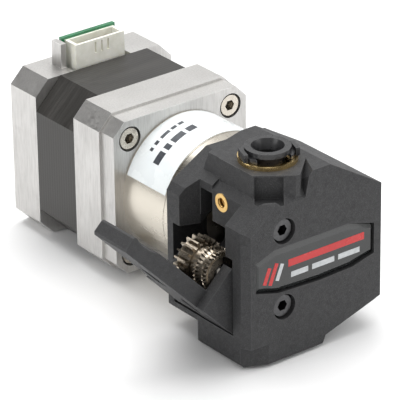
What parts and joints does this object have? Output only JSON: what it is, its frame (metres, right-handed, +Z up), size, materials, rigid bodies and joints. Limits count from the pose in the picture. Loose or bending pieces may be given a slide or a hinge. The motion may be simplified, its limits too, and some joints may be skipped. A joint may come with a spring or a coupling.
{
  "type": "geared filament extruder",
  "caption": "Stepper motor with a planetary gearbox driving a twin-gear filament feeder in a black housing, with a quick-release lever and a push-fit tube inlet.",
  "frame": {"origin": "mouth of the filament outlet in the foot's lower face, on the filament's path", "axes": "+Z up along the filament's path, +Y from the feeder back to the motor, +X to the feeder's closed side"},
  "size_m": [0.0707, 0.0948, 0.0524],
  "materials": {
    "cast_alloy": "bead-blasted die casting",
    "lamination": "stacked sheet edges, black",
    "winding": "enamelled copper wire",
    "magnet": "sintered",
    "bright_steel": "ground",
    "plated_steel": "nickel plated",
    "gear_steel": "machined, nickel tint",
    "black_nylon": "sintered nylon, fine grain",
    "black_screw": "black oxide",
    "brass": "turned",
    "black_acetal": "smooth moulded",
    "header_nylon": "moulded, cream white",
    "board": "green solder mask",
    "contact": "tin plated",
    "label": null,
    "badge": null
  },
  "bodies": {
    "frame": {"motor_front_bell": "cast_alloy", "motor_rear_bell": "cast_alloy", "gearbox_flange": "cast_alloy", "motor_stator": "lamination", "motor_coils": "winding", "motor_bearings": "bright_steel", "motor_screws": "plated_steel", "flange_screws": "plated_steel", "connector_header": "header_nylon", "connector_pins": "contact", "connector_board": "board", "ring_gear": "plated_steel", "gearbox_label": "label", "gearbox_cap": "plated_steel", "output_bearings": "bright_steel", "housing": "black_nylon", "housing_screws": "black_screw", "cover": "black_nylon", "cover_screws": "black_screw", "cover_badge": "badge", "push_fit_bush": "brass", "push_fit_collet": "black_acetal", "threaded_insert": "brass", "lever_pin": "bright_steel"},
    "rotor": {"rotor_shaft": "bright_steel", "rotor_core": "lamination", "rotor_magnet": "magnet", "sun_gear": "gear_steel"},
    "carrier": {"planet_carrier": "bright_steel", "planet_pins": "bright_steel", "drive_gear": "gear_steel", "gear_set_screw": "black_screw"},
    "planet_1": {"planet_gear_1": "gear_steel"},
    "planet_2": {"planet_gear_2": "gear_steel"},
    "planet_3": {"planet_gear_3": "gear_steel"},
    "lever": {"lever": "black_nylon", "idler_pin": "bright_steel"},
    "idler": {"idler_gear": "gear_steel", "idler_bearings": "bright_steel"},
    "clip": {"collet_clip": "black_acetal"}
  },
  "joints": [
    {"name": "rotor_spin", "type": "hinge", "parent": "frame", "child": "rotor", "pos_m": [0.0055, 0.0408, 0.0246], "axis": [0, 1, 0], "continuous": true},
    {"name": "carrier_spin", "type": "hinge", "parent": "frame", "child": "carrier", "pos_m": [0.0055, 0.0408, 0.0246], "axis": [0, 1, 0], "continuous": true},
    {"name": "planet_1_spin", "type": "hinge", "parent": "carrier", "child": "planet_1", "pos_m": [0.0055, 0.0328, 0.03315], "axis": [0, 1, 0], "continuous": true},
    {"name": "planet_2_spin", "type": "hinge", "parent": "carrier", "child": "planet_2", "pos_m": [-0.00191, 0.0328, 0.02032], "axis": [0, 1, 0], "continuous": true},
    {"name": "planet_3_spin", "type": "hinge", "parent": "carrier", "child": "planet_3", "pos_m": [0.0129, 0.0328, 0.02032], "axis": [0, 1, 0], "continuous": true},
    {"name": "lever_hinge", "type": "hinge", "parent": "frame", "child": "lever", "pos_m": [-0.0081, 0.0028, 0.011], "axis": [0, 1, 0], "range_deg": [0, 44]},
    {"name": "idler_spin", "type": "hinge", "parent": "lever", "child": "idler", "pos_m": [-0.01568, 0.0028, 0.02259], "axis": [0, 1, 0], "continuous": true},
    {"name": "clip_slide", "type": "slide", "parent": "frame", "child": "clip", "axis": [0.342, 0.9397, 0], "range_m": [0, 0.014]}
  ],
  "couplings": [
    {"joint": "carrier_spin", "follows": "rotor_spin", "ratio": 0.19298},
    {"joint": "planet_1_spin", "follows": "rotor_spin", "ratio": -0.52219},
    {"joint": "planet_2_spin", "follows": "rotor_spin", "ratio": -0.52219},
    {"joint": "planet_3_spin", "follows": "rotor_spin", "ratio": -0.52219},
    {"joint": "idler_spin", "follows": "rotor_spin", "ratio": -0.19298}
  ]
}
